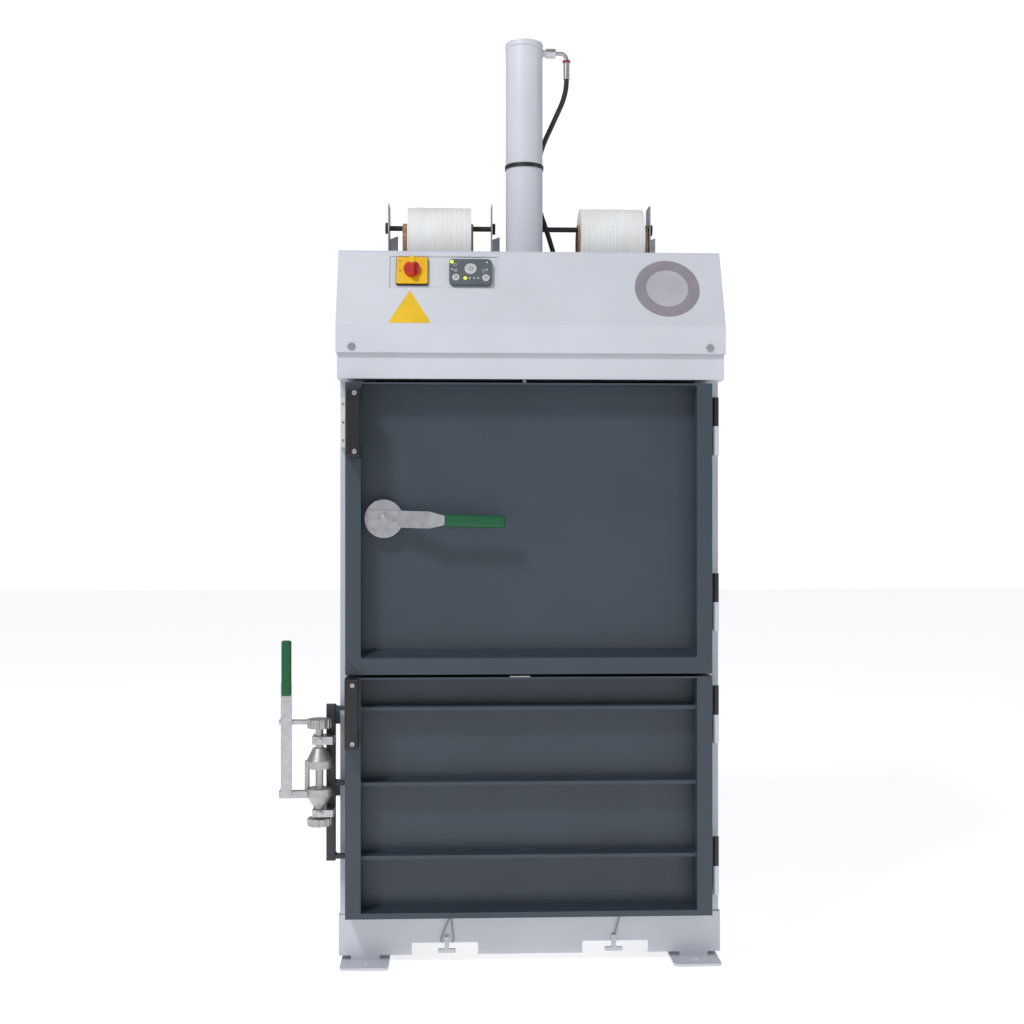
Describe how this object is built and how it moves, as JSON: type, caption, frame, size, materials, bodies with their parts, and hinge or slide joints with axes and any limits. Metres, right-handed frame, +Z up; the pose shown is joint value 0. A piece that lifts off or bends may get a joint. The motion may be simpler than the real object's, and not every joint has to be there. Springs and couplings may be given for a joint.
{
  "type": "recycling baler",
  "caption": "Upright downstroke baler with a hydraulic cylinder, sloped hood with controls, upper loading door, ribbed bale door, side lock and strap spools.",
  "frame": {"origin": "centre of the four anchor holes in the feet, on the floor", "axes": "+Z up, the doors face -Y, +X to the right of someone who faces the doors"},
  "size_m": [0.924, 0.679, 2.027],
  "materials": {
    "light_paint": "satin light grey paint",
    "door_paint": "satin slate paint",
    "zinc": "zinc plated",
    "cast_zinc": "zinc plated casting",
    "black_paint": "black paint",
    "dark_bar": "dark paint",
    "black_plastic": "matte",
    "green_grip": "glossy green plastic",
    "yellow_plastic": "yellow plastic",
    "red_plastic": "red plastic",
    "keypad_grey": "dark grey plastic",
    "button_grey": "silver grey plastic",
    "hose_rubber": "black rubber",
    "strap": "woven strap",
    "card": "wound card",
    "motor_paint": "paint",
    "white_plastic": "matte"
  },
  "bodies": {
    "cabinet": {"side_wall_left": "light_paint", "side_wall_right": "light_paint", "back_wall": "light_paint", "chamber_floor": "zinc", "base_frame": "light_paint", "feet": "light_paint", "strap_cleats": "light_paint", "yoke_plate": "light_paint", "hood_cover": "light_paint", "hood_roof": "light_paint", "lower_fascia": "light_paint", "hood_screws": "zinc", "control_plate": "light_paint", "switch_base": "black_plastic", "switch_plate": "yellow_plastic", "keypad": "keypad_grey", "cylinder_flange": "light_paint", "cylinder_tube": "light_paint", "cylinder_cap": "light_paint", "clamp_band": "black_paint", "oil_tank": "motor_paint", "power_pack": "motor_paint", "control_box": "motor_paint", "hose_elbow": "zinc", "hydraulic_hose": "hose_rubber", "hose_gland": "zinc", "left_spool_rod": "black_paint", "right_spool_rod": "black_paint", "spool_brackets": "zinc", "frame_knuckles": "light_paint", "hinge_pins": "zinc", "lock_keepers": "motor_paint", "door_switch": "keypad_grey", "switch_peg": "white_plastic", "strap_tails": "strap"},
    "press": {"press_plate": "black_paint", "piston_rod": "zinc"},
    "left_spool": {"left_spool_core": "card", "left_strap_roll": "strap"},
    "right_spool": {"right_spool_core": "card", "right_strap_roll": "strap"},
    "upper_door": {"upper_door": "door_paint", "upper_door_knuckles": "black_paint", "upper_handle": "black_plastic"},
    "upper_latch": {"latch_shaft": "zinc", "latch_disc": "zinc", "latch_lever": "zinc", "latch_grip": "green_grip"},
    "lower_door": {"lower_door": "door_paint", "lower_door_knuckles": "black_paint", "lower_handle": "black_plastic", "lock_bar": "dark_bar", "lock_clamps": "zinc"},
    "lower_lock": {"lock_body": "cast_zinc", "lock_lever": "zinc", "lock_grip": "green_grip"},
    "switch_knob": {"switch_knob": "red_plastic"},
    "button_start": {"button_start": "button_grey"},
    "button_left": {"button_left": "button_grey"},
    "button_right": {"button_right": "button_grey"}
  },
  "joints": [
    {"name": "upper_door_hinge", "type": "hinge", "parent": "cabinet", "child": "upper_door", "pos_m": [0.3865, -0.306, 0.9], "axis": [0, 0, 1], "range_deg": [0, 115]},
    {"name": "upper_latch_turn", "type": "hinge", "parent": "upper_door", "child": "upper_latch", "pos_m": [-0.307, -0.268, 0.932], "axis": [0, 1, 0], "range_deg": [0, 90]},
    {"name": "lower_door_hinge", "type": "hinge", "parent": "cabinet", "child": "lower_door", "pos_m": [0.3865, -0.306, 0.35], "axis": [0, 0, 1], "range_deg": [0, 115]},
    {"name": "lower_lock_turn", "type": "hinge", "parent": "lower_door", "child": "lower_lock", "pos_m": [-0.437, -0.325, 0.42], "axis": [0, 0, 1], "range_deg": [-90, 0]},
    {"name": "press_stroke", "type": "slide", "parent": "cabinet", "child": "press", "axis": [0, 0, 1], "range_m": [-0.6, 0]},
    {"name": "left_spool_spin", "type": "hinge", "parent": "cabinet", "child": "left_spool", "pos_m": [-0.196, 0.08, 1.5848], "axis": [1, 0, 0], "continuous": true},
    {"name": "right_spool_spin", "type": "hinge", "parent": "cabinet", "child": "right_spool", "pos_m": [0.208, 0.08, 1.5848], "axis": [1, 0, 0], "continuous": true},
    {"name": "main_switch_turn", "type": "hinge", "parent": "cabinet", "child": "switch_knob", "pos_m": [-0.249, -0.27679, 1.45397], "axis": [0, -0.9194, 0.3933], "range_deg": [0, 90]},
    {"name": "button_start_press", "type": "slide", "parent": "cabinet", "child": "button_start", "axis": [0, -0.9194, 0.3933], "range_m": [-0.0015, 0], "stiffness_N_per_m": 600},
    {"name": "button_left_press", "type": "slide", "parent": "cabinet", "child": "button_left", "axis": [0, -0.9194, 0.3933], "range_m": [-0.0015, 0], "stiffness_N_per_m": 600},
    {"name": "button_right_press", "type": "slide", "parent": "cabinet", "child": "button_right", "axis": [0, -0.9194, 0.3933], "range_m": [-0.0015, 0], "stiffness_N_per_m": 600}
  ]
}
